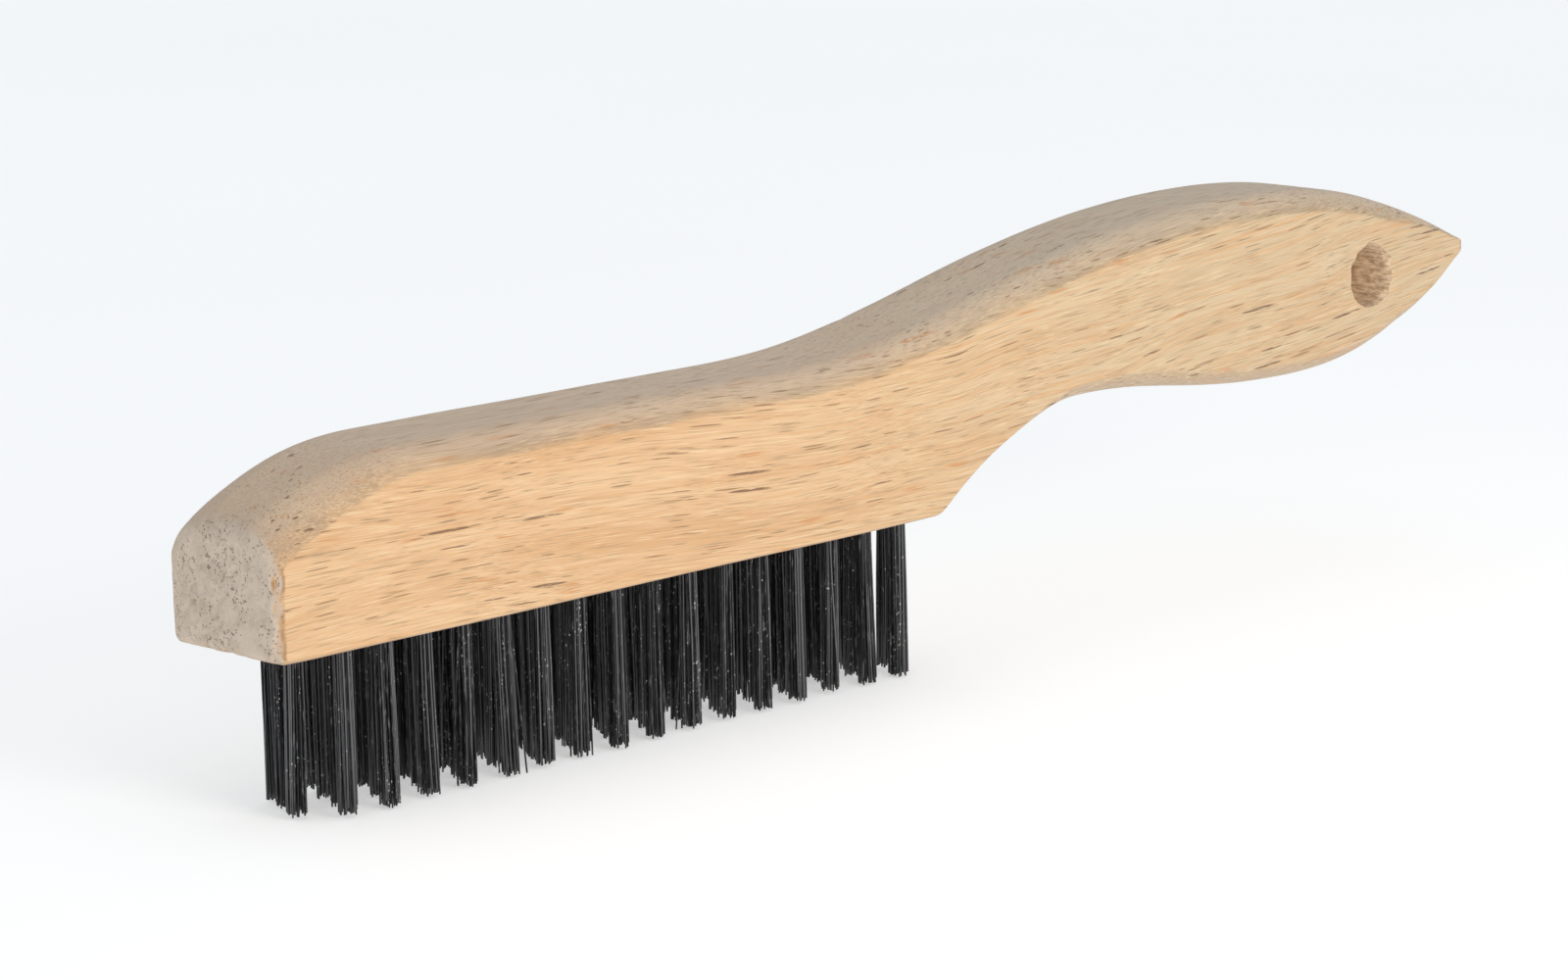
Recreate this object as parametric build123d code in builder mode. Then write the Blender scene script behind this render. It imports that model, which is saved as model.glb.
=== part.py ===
from build123d import *
import os

import numpy as np

os.makedirs("parts", exist_ok=True)

# Wooden-handled wire scratch brush: one shaped block and handle, with tufts of folded
# steel wire drawn into blind holes and held there by flat wire anchors.
#
# Frame: +X from the toe of the brush to the tail of its handle, +Y across, +Z up.
# The origin is under the middle of the brush, on the surface that the wire tips stand on.
# A "station" is a distance from the toe along X, and a "height" is measured from the
# block's flat underside. Millimetres throughout.

# Overall sizes
BRUSH_LENGTH = 260.0
BRUSH_WIDTH = 24.0
WIRE_TRIM = 25.0  # free length of the wires below the block

# Side view of the wood, as (station, height) knots of smooth curves
TOP_LINE = (
    (0.0, 17.8),
    (7.0, 22.0),
    (18.0, 25.6),
    (34.0, 26.6),
    (60.0, 26.5),
    (88.0, 26.3),
    (108.0, 26.4),
    (124.0, 28.1),
    (150.0, 33.6),
    (178.0, 38.8),
    (208.0, 40.6),
    (232.0, 38.3),
    (248.0, 33.2),
    (260.0, 27.5),
)
TOP_END_SLOPES = (0.9, -0.55)
UNDER_LINE = (
    (110.0, -12.0),
    (122.0, -7.0),
    (131.0, 0.0),
    (139.0, 5.7),
    (150.0, 10.9),
    (165.0, 13.2),
    (178.0, 12.8),
    (196.0, 10.6),
    (214.0, 9.3),
    (228.0, 9.9),
    (240.0, 12.7),
    (250.0, 17.6),
    (260.0, 24.6),
)
UNDER_END_SLOPES = (0.0, 0.75)

# The wood is shaped with rounded long edges, and then both sides are planed flat, which
# leaves an arris where each rounding meets a side.
SIDE_PLANING = 0.75
TOP_ROUNDING = 6.5
NOSE_ROUNDING = 9.0  # upper edges, at the toe
NOSE_LENGTH = 30.0
GRIP_ROUNDING = 6.0  # lower edges, along the grip
HEEL_ROUNDING = 1.0  # lower edges, where the underside ends
TAIL_ROUNDING = 1.4
TAIL_TAPER = 0.27  # rounding gained per mm from the tail's tip
NECK_STATIONS = (146.0, 166.0)  # the lower rounding grows between these
CORNER_ROUNDING = 1.0  # upright corners at the toe and the tail
UNDERSIDE_ROUNDING = 0.6  # edges of the flat underside

# Hang hole through the handle
HANG_HOLE_STATION = 235.1
HANG_HOLE_HEIGHT = 24.1
HANG_HOLE_RADIUS = 5.2

# Tufts, in four rows along the block. The rows are staggered, and a column is one tuft of
# each row; the last column is the odd tuft of the longest row.
TUFT_PITCH = 7.375
ROW_PITCH = 5.0
FIRST_TUFT_STATION = 14.8
ROW_STARTS = (0.0, -0.64, -0.39, -0.14)  # in pitches, past the first tuft's station
ROW_COUNTS = (16, 17, 16, 16)
TUFT_HOLE_RADIUS = 1.35
TUFT_HOLE_DEPTH = 12.0
TUFT_ROOT_RADIUS = 1.3
TUFT_TIP_RADIUS = 1.6
FOLD_ROUNDING = 1.0  # where the wires turn back at the bottom of the hole

# Flat wire anchors, driven across the holes
ANCHOR_LENGTH = 3.7
ANCHOR_THICKNESS = 0.4
ANCHOR_DEPTH = 1.6
ANCHOR_HEIGHT = 9.2  # of the anchor's lower edge

TOE_X = -BRUSH_LENGTH / 2
UNDERSIDE_Z = WIRE_TRIM
ANCHOR_Z = UNDERSIDE_Z + ANCHOR_HEIGHT


def curve_through(knots, end_slopes):
    """Height of the smooth curve through the knots, as a function of the station."""
    stations, heights = np.array(knots).T
    gaps = np.diff(stations)
    rises = np.diff(heights) / gaps
    system = np.eye(len(stations))
    target = np.empty(len(stations))
    target[0], target[-1] = end_slopes
    for i in range(1, len(stations) - 1):
        system[i, i - 1 : i + 2] = gaps[i], 2 * (gaps[i - 1] + gaps[i]), gaps[i - 1]
        target[i] = 3 * (gaps[i] * rises[i - 1] + gaps[i - 1] * rises[i])
    slopes = np.linalg.solve(system, target)

    def height(station):
        i = min(max(int(np.searchsorted(stations, station)) - 1, 0), len(gaps) - 1)
        gap = gaps[i]
        t = (station - stations[i]) / gap
        start = heights[i] * (1 + 2 * t) + slopes[i] * gap * t
        end = heights[i + 1] * (3 - 2 * t) - slopes[i + 1] * gap * (1 - t)
        return float(start * (1 - t) ** 2 + end * t**2)

    return height


top_height = curve_through(TOP_LINE, TOP_END_SLOPES)
under_curve = curve_through(UNDER_LINE, UNDER_END_SLOPES)


def under_height(station):
    """Height of the wood's lower side, which under the block is cut away later."""
    return under_curve(max(station, UNDER_LINE[0][0]))


def tail_rounding(station):
    return TAIL_ROUNDING + TAIL_TAPER * (BRUSH_LENGTH - station)


def top_rounding(station):
    nose = NOSE_ROUNDING - (NOSE_ROUNDING - TOP_ROUNDING) * min(station / NOSE_LENGTH, 1.0)
    return min(nose, tail_rounding(station))


def under_rounding(station):
    start, end = NECK_STATIONS
    grown = min(max((station - start) / (end - start), 0.0), 1.0)
    neck = HEEL_ROUNDING + (GRIP_ROUNDING - HEEL_ROUNDING) * grown
    return min(neck, tail_rounding(station))


def tuft_places(column):
    """(x, y) of the tufts in one column across the block."""
    places = []
    for row, (start, count) in enumerate(zip(ROW_STARTS, ROW_COUNTS)):
        if column < count:
            x = TOE_X + FIRST_TUFT_STATION + (column + start) * TUFT_PITCH
            y = (row - (len(ROW_COUNTS) - 1) / 2) * ROW_PITCH
            places.append((x, y))
    return places


columns = [tuft_places(column) for column in range(max(ROW_COUNTS))]
all_places = [place for column in columns for place in column]

# ---- block and handle, one piece of wood ----
nose_stations = (0.0, 3.0, 7.0, 12.0, 18.0, 26.0)
block_stations = tuple(np.linspace(36.0, 108.0, 6))
neck_stations = tuple(np.linspace(116.0, 148.0, 5))
grip_stations = tuple(np.linspace(157.0, 229.0, 9))
tail_stations = (238.0, 246.0, 252.0, 257.0, 260.0)
section_stations = nose_stations + block_stations + neck_stations + grip_stations + tail_stations

with BuildPart() as handle_block:
    for station in section_stations:
        top_z = UNDERSIDE_Z + top_height(station)
        bottom_z = UNDERSIDE_Z + under_height(station)
        with BuildSketch(Plane.YZ.offset(TOE_X + station)) as section:
            with Locations((0, (top_z + bottom_z) / 2)):
                Rectangle(BRUSH_WIDTH + 2 * SIDE_PLANING, top_z - bottom_z)
            fillet(section.vertices().group_by(Axis.Y)[-1], top_rounding(station))
            fillet(section.vertices().group_by(Axis.Y)[0], under_rounding(station))
    loft()

    # Plane the sides and the underside flat, and round the upright corners
    with BuildSketch(Plane.XY.offset(UNDERSIDE_Z)):
        RectangleRounded(BRUSH_LENGTH, BRUSH_WIDTH, CORNER_ROUNDING)
    extrude(amount=BRUSH_LENGTH, mode=Mode.INTERSECT)
    underside = handle_block.faces().sort_by(Axis.Z)[0]
    fillet(underside.edges().sort_by(Axis.X)[:5], UNDERSIDE_ROUNDING)

    # Blind holes for the tufts
    with BuildSketch(Plane.XY.offset(UNDERSIDE_Z)):
        with Locations(*all_places):
            Circle(TUFT_HOLE_RADIUS)
    extrude(amount=TUFT_HOLE_DEPTH, mode=Mode.SUBTRACT)

    # Cuts that the anchors bite into the walls of the holes
    with BuildSketch(Plane.XY.offset(ANCHOR_Z)):
        with Locations(*all_places):
            Rectangle(ANCHOR_LENGTH, ANCHOR_THICKNESS)
    extrude(amount=ANCHOR_DEPTH, mode=Mode.SUBTRACT)

    # Hang hole, straight across the handle
    with BuildSketch(Plane.XZ):
        with Locations((TOE_X + HANG_HOLE_STATION, UNDERSIDE_Z + HANG_HOLE_HEIGHT)):
            Circle(HANG_HOLE_RADIUS)
    extrude(amount=BRUSH_WIDTH, both=True, mode=Mode.SUBTRACT)

handle_block.part.label = "handle_block"
export_step(handle_block.part, "parts/handle_block.step")

# ---- tufts and anchors, one column of each across the block at a time ----
for number, places in enumerate(columns, start=1):
    with BuildPart() as anchor_column:
        with BuildSketch(Plane.XY.offset(ANCHOR_Z)):
            with Locations(*places):
                Rectangle(ANCHOR_LENGTH, ANCHOR_THICKNESS)
        extrude(amount=ANCHOR_DEPTH)
    anchor_column.part.label = f"anchor_column_{number:02d}"
    export_step(anchor_column.part, f"parts/{anchor_column.part.label}.step")

    with BuildPart() as tuft_column:
        with Locations(*places):
            Cone(
                TUFT_TIP_RADIUS,
                TUFT_ROOT_RADIUS,
                WIRE_TRIM,
                align=(Align.CENTER, Align.CENTER, Align.MIN),
            )
        with BuildSketch(Plane.XY.offset(UNDERSIDE_Z)):
            with Locations(*places):
                Circle(TUFT_ROOT_RADIUS)
        extrude(amount=TUFT_HOLE_DEPTH)
        fillet(tuft_column.edges().group_by(Axis.Z)[-1], FOLD_ROUNDING)
        # the wires are folded round the anchor, which passes through the tuft
        with BuildSketch(Plane.XY.offset(ANCHOR_Z)):
            with Locations(*places):
                Rectangle(ANCHOR_LENGTH, ANCHOR_THICKNESS)
        extrude(amount=ANCHOR_DEPTH, mode=Mode.SUBTRACT)
    tuft_column.part.label = f"tuft_column_{number:02d}"
    export_step(tuft_column.part, f"parts/{tuft_column.part.label}.step")
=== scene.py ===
"""Wire scratch brush: the visible wood, wires, materials, light and camera around the CAD frame.

The wood is one closed mesh lofted through the outline of the CAD block, bored for its tufts and
its hang hole, and then roughened. Every tuft is made of single wires, folded over its anchor as
in a real brush. Lengths are in millimetres inside the functions, and become metres when a mesh
is made. The light and the camera are placed in metres. A station is a distance from the toe
along X.
"""

import math

import bmesh
import bpy
import numpy as np
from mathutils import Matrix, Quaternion, Vector, noise


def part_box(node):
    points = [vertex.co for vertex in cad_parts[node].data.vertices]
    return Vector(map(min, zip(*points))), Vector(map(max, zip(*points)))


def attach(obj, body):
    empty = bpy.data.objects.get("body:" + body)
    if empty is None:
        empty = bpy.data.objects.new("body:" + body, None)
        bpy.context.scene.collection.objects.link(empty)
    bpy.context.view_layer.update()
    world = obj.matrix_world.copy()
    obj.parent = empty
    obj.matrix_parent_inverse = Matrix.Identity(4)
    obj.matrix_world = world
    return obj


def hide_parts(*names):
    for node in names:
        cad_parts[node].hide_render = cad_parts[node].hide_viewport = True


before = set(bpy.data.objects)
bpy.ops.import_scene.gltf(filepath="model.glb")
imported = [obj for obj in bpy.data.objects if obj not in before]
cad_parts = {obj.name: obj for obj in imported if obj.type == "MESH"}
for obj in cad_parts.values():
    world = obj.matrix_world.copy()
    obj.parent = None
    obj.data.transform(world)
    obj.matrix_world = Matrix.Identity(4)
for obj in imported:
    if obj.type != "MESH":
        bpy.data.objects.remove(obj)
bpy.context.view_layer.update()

MM = 0.001

# The side view of the wood, as (station, height above the underside) knots of smooth curves.
# They are the CAD block's knots, with a sharper tail.
TOP_LINE = (
    (0.0, 17.8), (7.0, 22.0), (18.0, 25.6), (34.0, 26.6), (60.0, 26.5), (88.0, 26.3),
    (108.0, 26.4), (124.0, 28.1), (150.0, 33.6), (178.0, 38.8), (208.0, 40.6), (232.0, 38.3),
    (248.0, 33.2), (260.0, 26.9),
)
TOP_END_SLOPES = (0.9, -0.58)
UNDER_LINE = (
    (110.0, -12.0), (122.0, -7.0), (131.0, 0.0), (139.0, 5.7), (150.0, 10.9), (165.0, 13.2),
    (178.0, 12.8), (196.0, 10.6), (214.0, 9.3), (228.0, 9.9), (240.0, 12.7), (250.0, 17.8),
    (260.0, 26.1),
)
UNDER_END_SLOPES = (0.0, 0.92)
HEEL_SOFTNESS = 0.5  # how softly the flat underside turns up at the heel

# The long edges are rounded, and then the sides are planed flat, which leaves an arris.
SIDE_PLANING = 0.75
LEAST_PLANING = 0.02  # of the lower edges
PLANING_LIMIT = 0.5  # the largest planing, as a share of the rounding
PLANING_WANDER = 0.2  # share by which the planing varies along an arris
PLANING_WANDER_LENGTH = 11.0
TOP_ROUNDING = 6.5
NOSE_ROUNDING = 9.0
NOSE_LENGTH = 30.0
GRIP_ROUNDING = 6.0
BLOCK_EDGE_ROUNDING = 0.6
TOE_CORNER_ROUNDING = 0.7  # more rounding at the toe's lower corners
TOE_CORNER_LENGTH = 2.5
TAIL_ROUNDING = 1.4
TAIL_TAPER = 0.27  # rounding gained per mm from the tail's tip
NECK_STATIONS = (146.0, 166.0)  # the lower rounding and planing grow between these
ROUNDING_LIMIT = 0.47  # the largest rounding, as a share of the wood's depth

# Radii that round the edges of the two end faces
TOE_EASING = {"side": 1.6, "top": 1.6, "under": 1.5}
TAIL_EASING = {"side": 1.3, "top": 0.25, "under": 0.25}

# The mesh: steps along one side, one corner arc and the flat between two arcs
SIDE_STEPS = 36
ARC_STEPS = 12
FLAT_STEPS = 28
TOP_STEPS = 2 * ARC_STEPS + FLAT_STEPS
RING_STEPS = 2 * (SIDE_STEPS + TOP_STEPS)
STATION_PITCH = 0.76
TOE_ZONE = 3.0  # stations are closer together in a zone at each end
TOE_ZONE_STEPS = 14
TAIL_ZONE = 1.6
TAIL_ZONE_STEPS = 10
SLIVER = 0.004  # edges shorter than this are merged after boring
SHARP_ANGLE = 42  # degrees

# Holes
HANG_HOLE_STATION = 235.1
HANG_HOLE_HEIGHT = 24.1
HANG_HOLE_RADIUS = 5.2
HANG_HOLE_MARGIN = 0.9  # wood this far outside its radius still counts as its wall
TORN_DEPTH = 0.30
FUZZ_DEPTH = 0.12
LIP_DEPTH = 0.9
LIP_FLARE = 0.12
LIP_CHIPPING = 0.9
TUFT_HOLE_RADIUS = 1.35
TUFT_HOLE_DEPTH = 12.0
TUFT_HOLE_FLARE = 0.16

# Roughness of the surface
SANDING_WAVES = 0.10
RAISED_GRAIN = 0.035
END_GRAIN_RELIEF = 0.06
HOLE_WALL_SHARE = 0.3  # how much of the roughness the hang hole's wall gets

# Wear: how many of each kind
DENT_SEED = 21
PIT_CLUSTERS = 6
PITS_PER_CLUSTER = 11
EDGE_CHIPS = 7
FOOT_CHIPS = 8
SIDE_DENTS = 30
TOP_DENTS = 22

# Tufts and wires. A column is one tuft of each row.
COLUMNS = 17
ROWS = 4
ROW_PITCH = 5.0
WIRE_RADIUS = 0.14
WIRE_GAP = 0.285
WIRE_LAYERS = 4
WALL_CLEARANCE = 0.02
ANCHOR_HALF_THICKNESS = 0.2
FOLD_HEIGHT = 10.8
FOLD_RINGS = 7
LEG_RINGS = 6
WIRE_SIDES = 6
FLOOR_CLEARANCE = 0.02

# How wires differ. A pair is a range and a share is of all wires. The other lengths are
# standard deviations, apart from the least shortness.
WIRE_SEED = 400
TUFT_LEAN = 0.18
TUFT_SHORTNESS = 0.25
LEAST_TUFT_SHORTNESS = 0.15
FOLD_SCATTER = 0.02
TIP_SPREAD = (1.04, 1.24)  # how much further apart tips are than roots
TIP_SCATTER = 0.10
TIP_RAGGEDNESS = 0.85
WIRE_BOW = 0.07
STRAY_SHARE = 0.035
STRAY_REACH = 0.9
STRAY_SHORTNESS = (0, 1.6)
SHORT_SHARE = 0.05
SHORT_SHORTNESS = (1.0, 3.6)

wood_low, wood_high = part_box("handle_block")
LENGTH = (wood_high.x - wood_low.x) / MM
HALF_WIDTH = (wood_high.y - wood_low.y) / 2 / MM
TOE_X = wood_low.x / MM
UNDERSIDE_Z = wood_low.z / MM


# ---------------------------------------------------------------- shared helpers


def curve_through(knots, end_slopes):
    """A smooth cubic spline through (station, height) knots, with the given slopes at its two ends."""
    at, height = np.array(knots).T
    step = np.diff(at)
    rise = np.diff(height) / step
    count = len(at)
    system, right = np.eye(count), np.zeros(count)
    right[0], right[-1] = end_slopes
    for k in range(1, count - 1):
        system[k, k - 1 : k + 2] = step[k], 2 * (step[k - 1] + step[k]), step[k - 1]
        right[k] = 3 * (step[k] * rise[k - 1] + step[k - 1] * rise[k])
    slope = np.linalg.solve(system, right)

    def height_at(station):
        k = np.clip(np.searchsorted(at, station) - 1, 0, count - 2)
        t = (station - at[k]) / step[k]
        bend_in = slope[k] * step[k]
        bend_out = slope[k + 1] * step[k]
        fall = height[k] - height[k + 1]
        square = -3 * fall - 2 * bend_in - bend_out
        cube = 2 * fall + bend_in + bend_out
        return height[k] + t * (bend_in + t * (square + t * cube))

    return height_at


def smooth_step(low, high, value):
    t = np.clip((value - low) / (high - low), 0.0, 1.0)
    return t * t * (3 - 2 * t)


def new_mesh(name, points, faces):
    """A mesh object from points in millimetres."""
    mesh = bpy.data.meshes.new(name)
    mesh.from_pydata((np.asarray(points) * MM).tolist(), [], faces)
    mesh.update()
    made = bpy.data.objects.new(name, mesh)
    bpy.context.scene.collection.objects.link(made)
    return made


def points_of(mesh):
    flat = np.empty(len(mesh.vertices) * 3, np.float32)
    mesh.vertices.foreach_get("co", flat)
    return flat.reshape(-1, 3).astype(float) / MM


def normals_of(mesh):
    flat = np.empty(len(mesh.vertices) * 3, np.float32)
    mesh.vertex_normals.foreach_get("vector", flat)
    return flat.reshape(-1, 3).astype(float)


def noise_at(points, sizes, seed):
    """Smooth noise from -1 to 1 at each point, with features of the given sizes in millimetres."""
    shift = Vector((seed * 17.3, seed * 5.1, seed * 9.7))
    scaled = points / np.asarray(sizes)
    return np.array([noise.noise(Vector(p) + shift) for p in scaled])


# ---------------------------------------------------------------- the wood


top_height = curve_through(TOP_LINE, TOP_END_SLOPES)
under_curve = curve_through(UNDER_LINE, UNDER_END_SLOPES)


def under_height(station):
    """Height of the underside: flat under the tufts, then up round the heel and along the grip."""
    if station <= UNDER_LINE[0][0]:
        return 0.0
    rise = under_curve(station)
    return (rise + math.hypot(rise, HEEL_SOFTNESS)) / 2


def easing(distance, radius):
    """How far a surface draws in at that distance from an end rounded with that radius."""
    if distance >= radius:
        return 0.0
    return radius - math.sqrt(radius**2 - (radius - distance) ** 2)


def corner_arc(half_width, level, radius, planing):
    """(y, z) points of an upper corner from its arris on the side (y negative) to the top."""
    first = math.acos(1 - planing / radius)
    angles = np.linspace(first, math.pi / 2, ARC_STEPS + 1)
    return np.column_stack([
        radius - half_width - planing - radius * np.cos(angles),
        level - radius + radius * np.sin(angles),
    ])


def crown(half_width, level, radius, planing_near, planing_far):
    """(y, z) points over the top, from the near arris to the far one."""
    near = corner_arc(half_width, level, radius, planing_near)
    far = corner_arc(half_width, level, radius, planing_far)[::-1] * (-1, 1)
    flat = np.linspace(near[-1], far[0], FLAT_STEPS + 1)
    return np.concatenate([near, flat[1:-1], far])


def ring(station):
    """One closed section of the wood: up the near side, over the top, down the far side and back."""
    toe = {part: easing(station, radius) for part, radius in TOE_EASING.items()}
    tail = {part: easing(LENGTH - station, radius) for part, radius in TAIL_EASING.items()}
    half_width = HALF_WIDTH - toe["side"] - tail["side"]
    top = top_height(station) - toe["top"] - tail["top"]
    bottom = under_height(station) + toe["under"] + tail["under"]
    largest = min(TAIL_ROUNDING + TAIL_TAPER * (LENGTH - station), ROUNDING_LIMIT * (top - bottom))
    nose = smooth_step(NOSE_LENGTH, 0.0, station)
    top_radius = min(TOP_ROUNDING + (NOSE_ROUNDING - TOP_ROUNDING) * nose, largest)
    neck = smooth_step(*NECK_STATIONS, station)
    toe_corner = TOE_CORNER_ROUNDING * math.exp(-station / TOE_CORNER_LENGTH)
    grip_growth = (GRIP_ROUNDING - BLOCK_EDGE_ROUNDING) * neck
    under_radius = min(BLOCK_EDGE_ROUNDING + toe_corner + grip_growth, largest)
    wander = [
        1 + PLANING_WANDER * noise.noise(Vector((station / PLANING_WANDER_LENGTH, line * 7.7, 0.3)))
        for line in range(4)
    ]
    top_planing = [min(SIDE_PLANING * w, PLANING_LIMIT * top_radius) for w in wander[:2]]
    under_planing = [
        min(SIDE_PLANING * w * neck + LEAST_PLANING, PLANING_LIMIT * under_radius) for w in wander[2:]
    ]
    over = crown(half_width, top, top_radius, *top_planing)
    below = crown(half_width, -bottom, under_radius, *under_planing) * (1, -1)
    near = np.linspace(below[0], over[0], SIDE_STEPS + 1)
    far = np.linspace(over[-1], below[-1], SIDE_STEPS + 1)
    outline = np.concatenate([near[:-1], over[:-1], far[:-1], below[:0:-1]])
    # soften the arrises a little
    outline = (np.roll(outline, 1, 0) + 4 * outline + np.roll(outline, -1, 0)) / 6
    return np.column_stack([np.full(RING_STEPS, station + TOE_X), outline + (0, UNDERSIDE_Z)])


def end_face(outline):
    """The points inside an end ring, blended from its four edges."""
    u = np.linspace(0, 1, TOP_STEPS + 1)[:, None, None]
    v = np.linspace(0, 1, SIDE_STEPS + 1)[None, :, None]
    top = outline[SIDE_STEPS : SIDE_STEPS + TOP_STEPS + 1][:, None]
    bottom = outline[(RING_STEPS - np.arange(TOP_STEPS + 1)) % RING_STEPS][:, None]
    near = outline[: SIDE_STEPS + 1][None]
    far = outline[2 * SIDE_STEPS + TOP_STEPS - np.arange(SIDE_STEPS + 1)][None]
    corners = (
        (1 - u) * (1 - v) * near[:, :1] + u * (1 - v) * far[:, :1]
        + (1 - u) * v * near[:, -1:] + u * v * far[:, -1:]
    )
    return (1 - v) * bottom + v * top + (1 - u) * near + u * far - corners


def end_face_indices(ring_start, inner_start):
    """Point numbers of an end face's grid, whose border is a ring and whose inside comes after it."""
    index = np.empty((TOP_STEPS + 1, SIDE_STEPS + 1), int)
    inside = (TOP_STEPS - 1, SIDE_STEPS - 1)
    index[1:-1, 1:-1] = inner_start + np.arange(inside[0] * inside[1]).reshape(inside)
    index[0] = ring_start + np.arange(SIDE_STEPS + 1)
    index[-1] = ring_start + 2 * SIDE_STEPS + TOP_STEPS - np.arange(SIDE_STEPS + 1)
    index[:, -1] = ring_start + SIDE_STEPS + np.arange(TOP_STEPS + 1)
    index[:, 0] = ring_start + (RING_STEPS - np.arange(TOP_STEPS + 1)) % RING_STEPS
    return index


def grid_faces(index, flipped=False):
    quads = np.stack([index[:-1, :-1], index[1:, :-1], index[1:, 1:], index[:-1, 1:]], -1).reshape(-1, 4)
    return quads[:, ::-1] if flipped else quads


def solid_wood():
    """The closed mesh of the wood before it is bored."""
    toe_zone = TOE_ZONE * (np.arange(TOE_ZONE_STEPS) / TOE_ZONE_STEPS) ** 2
    tail_zone = LENGTH - TAIL_ZONE * (np.arange(TAIL_ZONE_STEPS) / TAIL_ZONE_STEPS) ** 2
    middle = np.arange(TOE_ZONE, LENGTH - TAIL_ZONE + 0.01, STATION_PITCH)
    stations = np.concatenate([toe_zone, middle, tail_zone[::-1]])
    rings = np.array([ring(s) for s in stations])
    toe, tail = end_face(rings[0]), end_face(rings[-1])
    ring_points = len(stations) * RING_STEPS
    inner = (TOP_STEPS - 1) * (SIDE_STEPS - 1)
    points = np.concatenate([
        rings.reshape(-1, 3), toe[1:-1, 1:-1].reshape(-1, 3), tail[1:-1, 1:-1].reshape(-1, 3)
    ])
    index = np.arange(ring_points).reshape(len(stations), RING_STEPS)
    faces = np.concatenate([
        grid_faces(np.column_stack([index, index[:, 0]])),
        grid_faces(end_face_indices(0, ring_points), flipped=True),
        grid_faces(end_face_indices(ring_points - RING_STEPS, ring_points + inner)),
    ])
    return new_mesh("handle_wood", points, faces.tolist())


def drill(rings_of_points):
    """Points and faces of a closed round cutter, from its rings."""
    rings, steps = rings_of_points.shape[:2]
    index = np.arange(rings * steps).reshape(rings, steps)
    faces = grid_faces(np.column_stack([index, index[:, 0]])).tolist()
    faces += [index[0].tolist(), index[-1, ::-1].tolist()]
    return rings_of_points.reshape(-1, 3), faces


def hang_hole_cutter():
    """A bit that tore the end grain: a rough wall, with lips that are slightly broken out."""
    steps, rings = 128, 70
    turn = np.linspace(0, 2 * math.pi, steps, endpoint=False)
    depth = np.linspace(-HALF_WIDTH - 1, HALF_WIDTH + 1, rings)
    made = np.empty((rings, steps, 3))
    for k, y in enumerate(depth):
        around = np.column_stack([np.cos(turn), np.full(steps, y), np.sin(turn)])
        across_fibres = np.abs(np.cos(turn)) ** 1.5
        wall = around * (HANG_HOLE_RADIUS, 1, HANG_HOLE_RADIUS)
        torn = noise_at(wall, (1.6, 2.6, 0.9), 3)
        fuzz = noise_at(wall, (0.7, 0.9, 0.5), 4)
        lip = smooth_step(HALF_WIDTH - LIP_DEPTH, HALF_WIDTH + 0.1, abs(y))
        chips = np.clip(noise_at(around * (3.0, 0.2, 3.0), (1, 1, 1), 5), 0, 1)
        radius = HANG_HOLE_RADIUS + across_fibres * (TORN_DEPTH * torn + FUZZ_DEPTH * fuzz)
        radius = radius + lip * (LIP_FLARE + LIP_CHIPPING * chips)
        made[k] = np.column_stack([
            HANG_HOLE_STATION + TOE_X + radius * np.cos(turn),
            np.full(steps, y),
            HANG_HOLE_HEIGHT + UNDERSIDE_Z + radius * np.sin(turn),
        ])
    return drill(made)


def tuft_centres(column):
    """(x, y) of the tufts of a column, near row first, measured on its CAD solids."""
    points = points_of(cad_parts[f"tuft_column_{column:02d}"].data)
    centres = []
    for row in range(ROWS):
        y = (row - (ROWS - 1) / 2) * ROW_PITCH
        tuft = points[np.abs(points[:, 1] - y) < ROW_PITCH / 2]
        if len(tuft):
            centres.append(((tuft[:, 0].min() + tuft[:, 0].max()) / 2, y))
    return centres


def tuft_hole_cutter(x, y):
    """A blind hole whose mouth is a little frayed."""
    steps = 24
    turn = np.linspace(0, 2 * math.pi, steps, endpoint=False)
    fray = noise_at(np.column_stack([x + 3 * np.cos(turn), y + 3 * np.sin(turn), turn * 0]), (1, 1, 1), 6)
    levels = ((-1.0, TUFT_HOLE_FLARE), (0.0, TUFT_HOLE_FLARE), (0.5, 0.0), (TUFT_HOLE_DEPTH, 0.0))
    made = np.empty((len(levels), steps, 3))
    for k, (height, flare) in enumerate(levels):
        radius = TUFT_HOLE_RADIUS + flare * (1 + fray)
        made[k] = np.column_stack([
            x + radius * np.cos(turn), y + radius * np.sin(turn), np.full(steps, UNDERSIDE_Z + height)
        ])
    return drill(made[:, ::-1])


def bore(wood):
    """Cuts the hang hole and the tuft holes out of the wood."""
    points, faces, count = [], [], 0
    cutters = [hang_hole_cutter()]
    for column in range(1, COLUMNS + 1):
        cutters += [tuft_hole_cutter(x, y) for x, y in tuft_centres(column)]
    for cutter_points, cutter_faces in cutters:
        points.append(cutter_points)
        faces += [[k + count for k in face] for face in cutter_faces]
        count += len(cutter_points)
    tool = new_mesh("drills", np.concatenate(points), faces)
    cut = wood.modifiers.new("bore", "BOOLEAN")
    cut.operation = "DIFFERENCE"
    cut.object = tool
    cut.solver = "MANIFOLD"
    bpy.context.view_layer.update()
    bored = bpy.data.meshes.new_from_object(wood.evaluated_get(bpy.context.evaluated_depsgraph_get()))
    tidied = bmesh.new()
    tidied.from_mesh(bored)
    bmesh.ops.dissolve_degenerate(tidied, dist=SLIVER * MM, edges=tidied.edges)
    tidied.to_mesh(bored)
    tidied.free()
    wood.modifiers.clear()
    solid = wood.data
    wood.data = bored
    bpy.data.meshes.remove(solid)
    bpy.data.objects.remove(tool)


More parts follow.
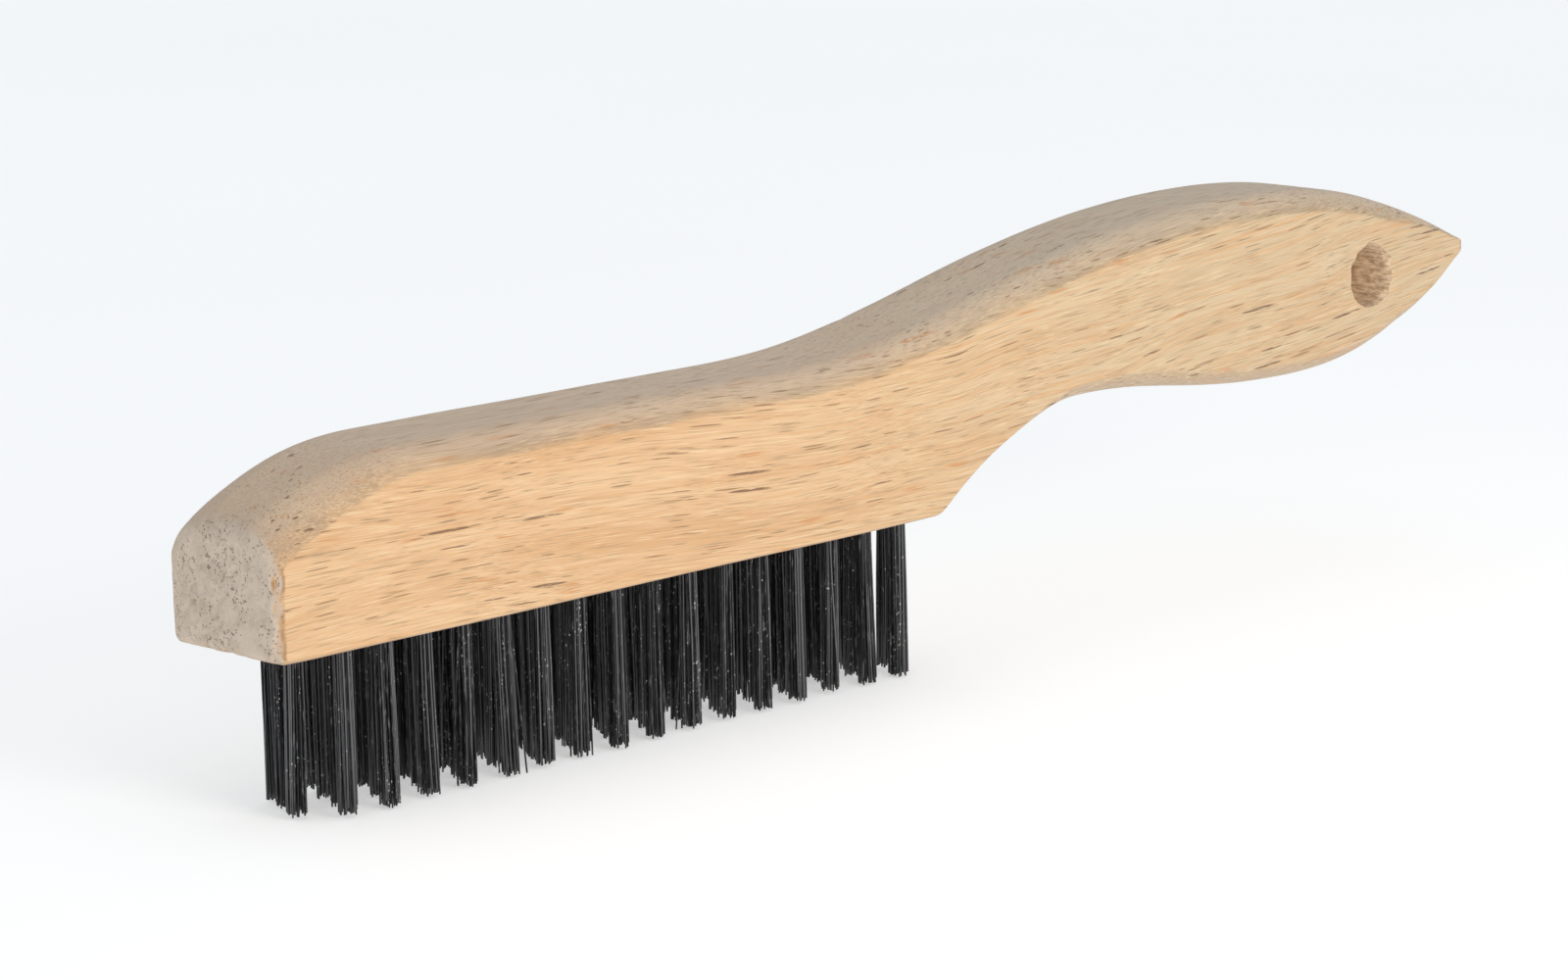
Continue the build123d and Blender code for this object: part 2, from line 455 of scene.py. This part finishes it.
def dents():
    """(x, y, z, radius, depth) of the nicks, pits and dents, in the row frame."""
    draw = np.random.default_rng(DENT_SEED)
    made = []

    def dent(x, y, height, radii, depths):
        made.append((x, y, UNDERSIDE_Z + height, draw.uniform(*radii), draw.uniform(*depths)))

    for _ in range(PIT_CLUSTERS):
        y, height = draw.uniform(-9, 9), draw.uniform(4, 15)
        for _ in range(PITS_PER_CLUSTER):
            dent(TOE_X, y + draw.normal(0, 1.7), height + draw.normal(0, 1.5), (0.25, 0.6), (0.15, 0.45))
    edge_x, edge_y = TOE_X + 0.3, -HALF_WIDTH + 0.3
    for _ in range(EDGE_CHIPS):
        dent(edge_x, edge_y, draw.uniform(1.5, 13), (0.5, 0.9), (0.2, 0.45))
    for _ in range(FOOT_CHIPS):
        dent(edge_x, draw.uniform(-11, 11), draw.uniform(0, 1.2), (0.6, 1.1), (0.15, 0.4))
    for _ in range(SIDE_DENTS):
        station = draw.uniform(8, 245)
        side = draw.choice((-1, 1))
        height = draw.uniform(under_height(station) + 1, top_height(station) - 4)
        dent(station + TOE_X, side * HALF_WIDTH, height, (0.5, 1.6), (0.05, 0.16))
    for _ in range(TOP_DENTS):
        station = draw.uniform(10, 240)
        dent(station + TOE_X, draw.uniform(-9, 9), top_height(station), (0.6, 1.8), (0.05, 0.18))
    return made


def roughen(mesh):
    """Hand-sanded unevenness, raised grain, pits in the end grain and a few knocks."""
    points, outward = points_of(mesh), normals_of(mesh)
    inside_hole = np.hypot(
        points[:, 0] - HANG_HOLE_STATION - TOE_X, points[:, 2] - HANG_HOLE_HEIGHT - UNDERSIDE_Z
    ) < HANG_HOLE_RADIUS + HANG_HOLE_MARGIN
    push = SANDING_WAVES * noise_at(points, (32, 10, 10), 1)
    push = push + RAISED_GRAIN * noise_at(points, (14, 1.6, 1.6), 2)
    end_grain = smooth_step(0.6, 0.95, np.abs(outward[:, 0])) * ~inside_hole
    push += END_GRAIN_RELIEF * end_grain * noise_at(points, (1.5, 1.1, 1.1), 7)
    for x, y, z, radius, depth in dents():
        away = np.linalg.norm(points - (x, y, z), axis=1)
        push -= depth * np.exp(-((away / radius) ** 2))
    push[inside_hole] *= HOLE_WALL_SHARE
    moved = points + outward * push[:, None]
    mesh.vertices.foreach_set("co", (moved * MM).astype(np.float32).ravel())
    mesh.update()


def make_wood():
    wood = solid_wood()
    bore(wood)
    roughen(wood.data)
    for face in wood.data.polygons:
        face.use_smooth = True
    wood.data.set_sharp_from_angle(angle=math.radians(SHARP_ANGLE))
    wood.data.materials.clear()
    wood.data.materials.append(wood_material())
    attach(wood, "root")
    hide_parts("handle_block")


# ---------------------------------------------------------------- the wires


def tuft_layout():
    """(place along the anchor, offset of its two legs from the anchor's middle) of each wire in a hole."""
    reach = TUFT_HOLE_RADIUS - WIRE_RADIUS - WALL_CLEARANCE
    places = []
    for layer in range(WIRE_LAYERS):
        offset = ANCHOR_HALF_THICKNESS + WIRE_RADIUS + layer * WIRE_GAP
        widest = math.sqrt(max(reach**2 - offset**2, 0))
        count = int(2 * widest / WIRE_GAP) + 1
        for k in range(count):
            places.append(((k - (count - 1) / 2) * WIRE_GAP, offset))
    return places


def wire_leg(draw, x, y, tuft):
    """Points down one leg of a wire, from the top of its straight part to its tip."""
    spread = draw.uniform(*TIP_SPREAD)
    tip = np.array([x * spread + draw.normal(0, TIP_SCATTER), y * spread + draw.normal(0, TIP_SCATTER)])
    shorter = abs(draw.normal(0, TIP_RAGGEDNESS)) + tuft["short"]
    if draw.random() < STRAY_SHARE:
        tip += draw.normal(0, STRAY_REACH, 2)
        shorter += draw.uniform(*STRAY_SHORTNESS)
    if draw.random() < SHORT_SHARE:
        shorter += draw.uniform(*SHORT_SHORTNESS)
    bow = draw.normal(0, WIRE_BOW, 2)
    drop = np.linspace(0, 1, LEG_RINGS)
    root_z = UNDERSIDE_Z + FOLD_HEIGHT
    free = np.clip((drop * (root_z - shorter) - FOLD_HEIGHT + 1) / (UNDERSIDE_Z - shorter), 0, 1)
    made = np.empty((LEG_RINGS, 3))
    made[:, 2] = root_z - drop * (root_z - shorter)
    for axis, start in ((0, x), (1, y)):
        made[:, axis] = start + (tip[axis] - start) * free + bow[axis] * np.sin(math.pi * free)
        made[:, axis] += tuft["lean"][axis] * free**1.3
    return made


def folded_wire(draw, x, offset, tuft):
    """The path of one wire: up one leg, over the anchor, down the other."""
    x += draw.normal(0, FOLD_SCATTER)
    near = wire_leg(draw, x, -offset, tuft)[::-1]
    far = wire_leg(draw, x, offset, tuft)
    turn = np.linspace(math.pi, 0, FOLD_RINGS)[1:-1]
    fold = np.column_stack([
        np.full(len(turn), x),
        offset * np.cos(turn),
        UNDERSIDE_Z + FOLD_HEIGHT + offset * np.sin(turn),
    ])
    return np.concatenate([near, fold, far])


def tubes(paths):
    """Points and faces of round wires along paths that all have the same number of points."""
    wires, rings = paths.shape[:2]
    along = np.gradient(paths, axis=1)
    along /= np.linalg.norm(along, axis=2, keepdims=True)
    first = np.array([1.0, 0, 0]) - along * along[:, :, :1]
    first /= np.linalg.norm(first, axis=2, keepdims=True)
    second = np.cross(along, first)
    turn = np.linspace(0, 2 * math.pi, WIRE_SIDES, endpoint=False)[:, None]
    offsets = np.cos(turn) * first[:, :, None] + np.sin(turn) * second[:, :, None]
    points = (paths[:, :, None] + WIRE_RADIUS * offsets).reshape(-1, 3)
    index = np.arange(wires * rings * WIRE_SIDES).reshape(wires, rings, WIRE_SIDES)
    faces = []
    for wire in index:
        faces += grid_faces(np.column_stack([wire, wire[:, 0]]), flipped=True).tolist()
        faces += [wire[0, ::-1].tolist(), wire[-1].tolist()]
    return points, faces


def make_tufts(material):
    """One piece for each column of tufts."""
    for column in range(1, COLUMNS + 1):
        draw = np.random.default_rng(WIRE_SEED + column)
        paths, tones = [], []
        for x, y in tuft_centres(column):
            tuft = {
                "short": LEAST_TUFT_SHORTNESS + abs(draw.normal(0, TUFT_SHORTNESS)),
                "lean": draw.normal(0, TUFT_LEAN, 2),
            }
            for along, offset in tuft_layout():
                path = folded_wire(draw, along, offset, tuft) + (x, y, 0)
                path[:, 2] = np.maximum(path[:, 2], FLOOR_CLEARANCE)
                paths.append(path)
                tones.append(draw.random())
        points, faces = tubes(np.array(paths))
        made = new_mesh(f"tuft_wires_{column:02d}", points, faces)
        tone = made.data.attributes.new("wire_tone", "FLOAT", "POINT")
        tone.data.foreach_set("value", np.repeat(tones, len(points) // len(tones)))
        for face in made.data.polygons:
            face.use_smooth = len(face.vertices) == 4
        made.data.materials.append(material)
        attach(made, "root")
        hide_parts(f"tuft_column_{column:02d}")


# ---------------------------------------------------------------- materials


class Shader:
    """One material and its nodes. Each call adds a node and gives back its output."""

    def __init__(self, name):
        self.material = bpy.data.materials.new(name)
        self.material.use_nodes = True
        self.tree = self.material.node_tree
        self.surface = self.tree.nodes["Principled BSDF"]

    def put(self, socket, value):
        if isinstance(value, bpy.types.NodeSocket):
            self.tree.links.new(value, socket)
        else:
            socket.default_value = value

    def node(self, kind, inputs, output=0, **settings):
        made = self.tree.nodes.new("ShaderNode" + kind)
        for name, value in settings.items():
            setattr(made, name, value)
        for key, value in inputs.items():
            self.put(made.inputs[key], value)
        return made.outputs[output]

    def place(self):
        """The point's place on the object in millimetres."""
        return self.stretch(self.node("TexCoord", {}, "Object"), (1 / MM,) * 3)

    def stretch(self, vector, factors):
        return self.node("VectorMath", {0: vector, 1: factors}, operation="MULTIPLY")

    def shift(self, vector, offset):
        return self.node("VectorMath", {0: vector, 1: offset}, operation="ADD")

    def axis(self, vector, name):
        return self.node("SeparateXYZ", {0: vector}, name)

    def math(self, operation, a, b=0.0):
        return self.node("Math", {0: a, 1: b}, operation=operation)

    def noise(self, vector, size, detail=2.0, roughness=0.5, output=0):
        """Noise from 0 to 1 with features of that size, in millimetres along x, y and z."""
        scaled = self.stretch(vector, [1 / s for s in size])
        return self.node(
            "TexNoise", {"Vector": scaled, "Scale": 1.0, "Detail": detail, "Roughness": roughness}, output
        )

    def cells(self, vector, size):
        """Distance to the nearest of scattered points, in cells of that size in millimetres."""
        scaled = self.stretch(vector, [1 / s for s in size])
        return self.node("TexVoronoi", {"Vector": scaled, "Scale": 1.0, "Randomness": 1.0}, "Distance")

    def ramp(self, value, low, high, start=0.0, end=1.0):
        """Eases from start to end as the value goes from low to high."""
        inputs = {0: value, 1: low, 2: high, 3: start, 4: end}
        return self.node("MapRange", inputs, interpolation_type="SMOOTHSTEP")

    def blend(self, factor, a, b):
        """Colour a where the factor is 0, and colour b where it is 1."""
        return self.node("Mix", {0: factor, 6: a, 7: b}, 2, data_type="RGBA")

    def bump(self, height, depth, strength, under=None):
        """Relief of that depth in millimetres where height goes from 0 to 1."""
        inputs = {"Strength": strength, "Distance": depth * MM, "Height": height}
        if under is not None:
            inputs["Normal"] = under
        return self.node("Bump", inputs)


# Colours of the wood, as linear red, green, blue and alpha
PEACH = (0.72, 0.455, 0.245, 1)
HONEY = (0.63, 0.355, 0.165, 1)
PALE = (0.80, 0.60, 0.375, 1)
UMBER = (0.20, 0.095, 0.045, 1)
OLIVE = (0.36, 0.24, 0.13, 1)
WALNUT = (0.31, 0.155, 0.065, 1)
# a dark grey-brown, for scuffs and for painted shade
FADED = (0.60, 0.485, 0.31, 1)
SCUFF_AND_SHADE = (0.36, 0.265, 0.18, 1)
TORN = (0.90, 0.70, 0.48, 1)
RUST = (0.56, 0.25, 0.085, 1)
# the end grain's own grey, also used as a painted sheen on upward faces
END_GRAIN_AND_TOP_SHEEN = (0.71, 0.58, 0.465, 1)
PORE = (0.13, 0.085, 0.055, 1)

# Colours of the steel
BLACKENED = (0.012, 0.0125, 0.014, 1)
RUBBED = (0.13, 0.13, 0.135, 1)
DUSTY = (0.20, 0.20, 0.205, 1)
STRIP = (0.42, 0.42, 0.43, 1)
BRIGHT = (0.62, 0.61, 0.60, 1)


def wood_material():
    """Raw plantation hardwood: fine fibres, scattered vessel lines and dusty, pitted end grain."""
    s = Shader("raw_hardwood")
    place = s.place()

    # the grain sways, falls a little along the block and rises along the handle
    sway = s.shift(s.noise(place, (75, 34, 34), 1.0, 0.5, 1), (-0.5, -0.5, -0.5))
    bent = s.node("VectorMath", {0: sway, 1: (0, 7, 7), 2: place}, operation="MULTIPLY_ADD")
    along = s.axis(place, "X")
    fall = s.math("MULTIPLY", along, 0.035)
    rise = s.math("MULTIPLY", s.math("MAXIMUM", s.math("SUBTRACT", along, 5.0), 0.0), 0.115)
    tilt = s.node("CombineXYZ", {2: s.math("SUBTRACT", fall, rise)})
    grain = s.node("VectorMath", {0: bent, 1: tilt}, operation="ADD")

    # warm bands, fibres and streaks, faded towards the tail
    bands = s.noise(grain, (110, 6.0, 5.0), 2.0, 0.55)
    colour = s.blend(s.ramp(bands, 0.40, 0.66), PEACH, HONEY)
    towards_tail = s.math("ADD", along, s.math("MULTIPLY", s.noise(place, (60, 16, 12)), 70.0))
    colour = s.blend(s.ramp(towards_tail, -20, 90, 0.10, 0.70), colour, FADED)
    fibres = s.noise(grain, (26, 0.7, 0.6), 4.0, 0.65)
    streaks = s.noise(grain, (60, 2.4, 1.5), 2.0, 0.5)
    colour = s.blend(s.ramp(fibres, 0.46, 0.62, 0.0, 0.48), colour, HONEY)
    colour = s.blend(s.ramp(streaks, 0.54, 0.68, 0.0, 0.60), colour, HONEY)

    # scuffs and painted shade on the upper rounded edges, a painted grey sheen on the top and painted shade
    # on the underside
    facing = s.node("NewGeometry", {}, "Normal")
    upward = s.axis(facing, "Z")
    # the upper rounded edges darken in patches: partly real scuffs, partly painted shade of the rounding
    scuff_and_edge_shade = s.math("MULTIPLY", s.ramp(upward, 0.20, 0.36), s.ramp(upward, 1.0, 0.6))
    edge_patchiness = s.ramp(s.noise(place, (16, 4, 4), 4.0, 0.65), 0.36, 0.62, 0.15, 0.60)
    scuff_and_edge_shade = s.math("MULTIPLY", scuff_and_edge_shade, edge_patchiness)
    colour = s.blend(scuff_and_edge_shade, colour, SCUFF_AND_SHADE)
    # painted sheen: upward faces turn greyer, towards the end grain's colour
    colour = s.blend(s.ramp(upward, 0.4, 0.95, 0.0, 0.5), colour, END_GRAIN_AND_TOP_SHEEN)
    # painted shade: downward faces turn darker
    colour = s.blend(s.ramp(upward, -0.15, -0.8, 0.0, 0.6), colour, SCUFF_AND_SHADE)

    # hair-thin fibres, dark and pale
    hairs = s.noise(grain, (9.0, 0.20, 0.17), 2.0, 0.6)
    colour = s.blend(s.ramp(hairs, 0.54, 0.68, 0.0, 0.70), colour, OLIVE)
    colour = s.blend(s.ramp(hairs, 0.46, 0.32, 0.0, 0.60), colour, PALE)

    # vessel lines, fine ones and darker broken ones, in flocks
    flock = s.noise(place, (34, 9, 5), 2.0, 0.5)
    fine_reach = s.ramp(flock, 0.35, 0.62, 0.07, 0.27)
    fine = s.cells(grain, (12.0, 0.62, 0.55))
    fine_lines = s.ramp(s.math("DIVIDE", fine, fine_reach), 1.0, 0.6)
    fine_lines = s.math("MULTIPLY", fine_lines, s.ramp(hairs, 0.34, 0.56))
    colour = s.blend(s.math("MULTIPLY", fine_lines, 0.75), colour, WALNUT)

    dark_reach = s.ramp(s.noise(place, (48, 12, 7), 2.0, 0.5), 0.42, 0.64, 0.06, 0.21)
    dark = s.cells(s.shift(grain, (31, 5, 9)), (32, 1.45, 1.25))
    dark_lines = s.ramp(s.math("DIVIDE", dark, dark_reach), 1.0, 0.7)
    broken = s.ramp(s.noise(place, (3.4, 1.2, 0.22), 3.0, 0.65), 0.38, 0.52)
    dark_lines = s.math("MULTIPLY", dark_lines, broken)
    colour = s.blend(s.math("MULTIPLY", dark_lines, 0.90), colour, UMBER)

    # rust-coloured flecks
    fleck = s.cells(s.shift(grain, (7, 21, 3)), (17, 3.4, 2.6))
    flecks = s.math("MULTIPLY", s.ramp(fleck, 0.21, 0.08), s.ramp(hairs, 0.35, 0.6))
    colour = s.blend(s.math("MULTIPLY", flecks, 0.75), colour, RUST)

    # dirty edges at the ends, and grey, pitted end grain outside the hang hole
    to_hole_centre = (-(HANG_HOLE_STATION + TOE_X), 0, -(HANG_HOLE_HEIGHT + UNDERSIDE_Z))
    from_axis = s.stretch(s.shift(place, to_hole_centre), (1, 0, 1))
    away = s.ramp(s.node("VectorMath", {0: from_axis}, "Value", operation="LENGTH"), 5.9, 6.4)
    outside_hole = s.math("MAXIMUM", away, s.ramp(s.math("ABSOLUTE", s.axis(facing, "Y")), 0.35, 0.75))
    side_on = s.math("ABSOLUTE", s.axis(facing, "X"))
    edge = s.math("MULTIPLY", s.ramp(side_on, 0.06, 0.3), s.ramp(s.math("ABSOLUTE", upward), 0.4, 0.15))
    edge = s.math("MULTIPLY", edge, s.ramp(s.noise(place, (1.5, 1.5, 2.5), 3.0, 0.6), 0.35, 0.6, 0.25, 0.8))
    colour = s.blend(s.math("MULTIPLY", edge, outside_hole), colour, WALNUT)
    end_on = s.math("MULTIPLY", outside_hole, s.ramp(side_on, 0.40, 0.93))
    dust = s.noise(place, (4, 2.2, 2.2), 3.0, 0.6)
    patches = s.ramp(s.noise(place, (6, 4.5, 4.5), 2.0, 0.5), 0.42, 0.60)
    pores = s.ramp(s.cells(place, (3.0, 0.55, 0.55)), 0.27, 0.12)
    pits = s.ramp(s.noise(place, (2, 0.8, 0.8), 2.0, 0.6), 0.60, 0.68)
    pitted = s.math("MULTIPLY", s.math("MAXIMUM", pores, pits), patches)
    end_colour = s.blend(s.ramp(dust, 0.35, 0.7, 0.0, 0.28), END_GRAIN_AND_TOP_SHEEN, OLIVE)
    end_colour = s.blend(s.math("MULTIPLY", pitted, 0.65), end_colour, PORE)
    colour = s.blend(end_on, colour, end_colour)

    # raw, torn fibres in the hang hole
    torn = s.blend(s.ramp(s.noise(place, (0.7, 2.2, 0.5), 3.0, 0.65), 0.40, 0.62, 0.0, 0.6), TORN, WALNUT)
    colour = s.blend(outside_hole, torn, colour)
    s.put(s.surface.inputs["Base Color"], colour)

    rough = s.ramp(s.noise(place, (9, 1.2, 1.2), 3.0, 0.6), 0.3, 0.7, 0.50, 0.68)
    s.put(s.surface.inputs["Roughness"], s.math("MAXIMUM", rough, s.math("MULTIPLY", end_on, 0.9)))
    s.surface.inputs["Sheen Weight"].default_value = 0.12
    s.surface.inputs["Sheen Roughness"].default_value = 0.6
    s.surface.inputs["Specular IOR Level"].default_value = 0.42

    relief = s.math("ADD", s.math("MULTIPLY", fibres, 0.6), s.math("MULTIPLY", hairs, 0.4))
    normal = s.bump(relief, 0.07, 0.7)
    normal = s.bump(s.math("SUBTRACT", 1.0, s.math("MAXIMUM", fine_lines, dark_lines)), 0.10, 0.8, normal)
    cut = s.math("MULTIPLY", end_on, s.math("SUBTRACT", dust, pitted))
    normal = s.bump(cut, 0.22, 0.8, normal)
    s.put(s.surface.inputs["Normal"], normal)
    return s.material


def wire_material():
    """Oil-blackened carbon steel wire with a few bright specks and dusty patches."""
    s = Shader("blackened_wire")
    place = s.place()
    tone = s.node("Attribute", {}, "Fac", attribute_name="wire_tone")
    colour = s.blend(s.ramp(tone, 0.3, 1.0), BLACKENED, RUBBED)
    scale = s.noise(place, (0.5, 0.5, 2.4), 3.0, 0.6)
    colour = s.blend(s.ramp(scale, 0.52, 0.72, 0.0, 0.7), colour, DUSTY)
    specks = s.ramp(s.cells(place, (0.6, 0.6, 0.8)), 0.24, 0.12)
    specks = s.math("MULTIPLY", specks, s.ramp(s.noise(place, (5, 5, 7), 2.0), 0.44, 0.64))
    colour = s.blend(specks, colour, BRIGHT)
    s.put(s.surface.inputs["Base Color"], colour)
    s.surface.inputs["Metallic"].default_value = 0.55
    s.put(s.surface.inputs["Roughness"], s.ramp(scale, 0.3, 0.7, 0.34, 0.55))
    s.put(s.surface.inputs["Normal"], s.bump(s.noise(place, (0.12, 0.12, 1.6), 2.0), 0.02, 0.5))
    return s.material


def anchor_material():
    """Plain drawn steel strip with faint die lines."""
    s = Shader("anchor_steel")
    place = s.place()
    drawn = s.noise(place, (6, 0.15, 0.12), 3.0, 0.6)
    s.put(s.surface.inputs["Base Color"], s.blend(drawn, STRIP, BRIGHT))
    s.surface.inputs["Metallic"].default_value = 1.0
    s.put(s.surface.inputs["Roughness"], s.ramp(drawn, 0.3, 0.7, 0.28, 0.46))
    s.put(s.surface.inputs["Normal"], s.bump(drawn, 0.015, 0.5))
    return s.material


def floor_material():
    """A matt, near-white studio table that glows a little."""
    s = Shader("pale_table")
    soft = s.noise(s.place(), (220, 220, 220), 2.0)
    s.put(s.surface.inputs["Base Color"], s.blend(soft, (0.80, 0.80, 0.80, 1), (0.84, 0.84, 0.84, 1)))
    s.surface.inputs["Roughness"].default_value = 0.9
    s.surface.inputs["Emission Color"].default_value = (1, 1, 1, 1)
    s.surface.inputs["Emission Strength"].default_value = 0.44
    return s.material


def finish_anchors():
    """The CAD anchors stay, in drawn steel."""
    steel = anchor_material()
    for column in range(1, COLUMNS + 1):
        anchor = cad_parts[f"anchor_column_{column:02d}"]
        anchor.data.materials.clear()
        anchor.data.materials.append(steel)


# ---------------------------------------------------------------- studio


def add_floor():
    """A square floor, 12 metres wide, under the wire tips."""
    reach = 6000
    corners = [(-reach, -reach, 0), (reach, -reach, 0), (reach, reach, 0), (-reach, reach, 0)]
    floor = new_mesh("floor", corners, [[0, 1, 2, 3]])
    floor.data.materials.append(floor_material())


def add_light(name, direction, distance, size, power, colour):
    """A square soft box in that direction from the origin, which it faces. Lengths in metres."""
    lamp = bpy.data.lights.new(name, "AREA")
    lamp.shape = "SQUARE"
    lamp.size = size
    lamp.energy = power
    lamp.color = colour
    made = bpy.data.objects.new(name, lamp)
    towards = Vector(direction).normalized()
    made.location = towards * distance
    made.rotation_mode = "QUATERNION"
    made.rotation_quaternion = towards.to_track_quat("Z", "Y")
    bpy.context.scene.collection.objects.link(made)


def add_studio_light():
    world = bpy.data.worlds.new("studio")
    world.use_nodes = True
    sky = world.node_tree.nodes["Background"]
    sky.inputs["Color"].default_value = (0.91, 0.96, 1.0, 1)
    sky.inputs["Strength"].default_value = 0.60
    bpy.context.scene.world = world
    add_light(
        "key_softbox",
        direction=(-0.075, -0.47, 0.14),
        distance=0.50,
        size=0.24,
        power=1.14,
        colour=(1.0, 0.95, 0.88),
    )
    bpy.context.scene.view_settings.view_transform = "Standard"


def add_camera():
    """The camera stands off the toe, on the near side, a little above the brush."""
    azimuth, elevation, roll = math.radians(44.205), math.radians(11.346), math.radians(-1.453)
    target, distance = Vector((-0.0212, 0.0, 0.0311)), 0.7885
    level = math.cos(elevation)
    back = Vector((-math.sin(azimuth) * level, -math.cos(azimuth) * level, math.sin(elevation)))
    lens = bpy.data.cameras.new("camera")
    lens.lens = 118.64
    lens.sensor_width = 36.0
    camera = bpy.data.objects.new("camera", lens)
    camera.location = target + back * distance
    camera.rotation_mode = "QUATERNION"
    camera.rotation_quaternion = (-back).to_track_quat("-Z", "Y") @ Quaternion((0, 0, 1), roll)
    bpy.context.scene.collection.objects.link(camera)
    bpy.context.scene.camera = camera


make_wood()
make_tufts(wire_material())
finish_anchors()
add_floor()
add_studio_light()
add_camera()
